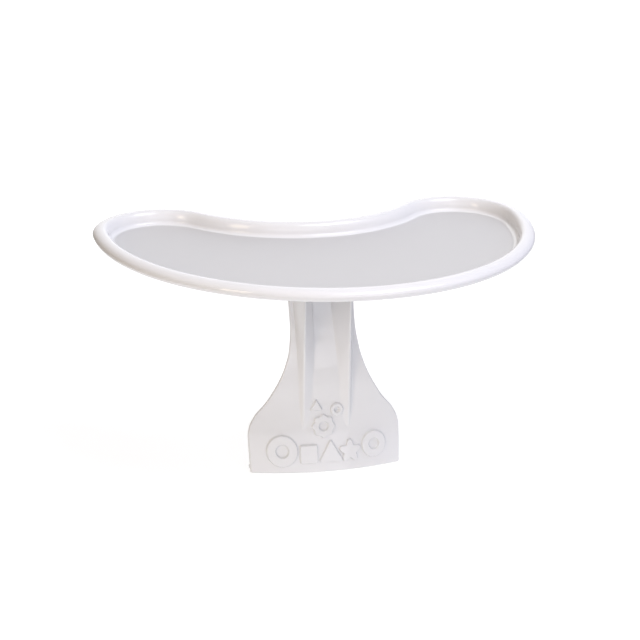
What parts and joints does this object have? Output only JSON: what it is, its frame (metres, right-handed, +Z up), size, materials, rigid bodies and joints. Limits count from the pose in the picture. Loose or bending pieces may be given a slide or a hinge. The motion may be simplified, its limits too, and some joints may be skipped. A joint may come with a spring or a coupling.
{
  "type": "clip-on play tray",
  "caption": "Kidney-shaped rimmed tray on a ribbed stem with a curved foot plate and hook lip that clips to the front of an infant floor seat.",
  "frame": {"origin": "under the middle of the tray, at the height of the hook lip's underside", "axes": "+X to the right along the tray's width, +Y towards the seated child, +Z up"},
  "size_m": [0.432, 0.2834, 0.234],
  "materials": {
    "tray_plastic": "glossy white moulding, floor slightly matte",
    "stem_plastic": "glossy white moulding",
    "screw_steel": "zinc-plated steel"
  },
  "bodies": {
    "root": {"tray": "tray_plastic", "stem": "stem_plastic", "screw_front_left": "screw_steel", "screw_front_right": "screw_steel", "screw_rear_left": "screw_steel", "screw_rear_right": "screw_steel"}
  },
  "joints": []
}
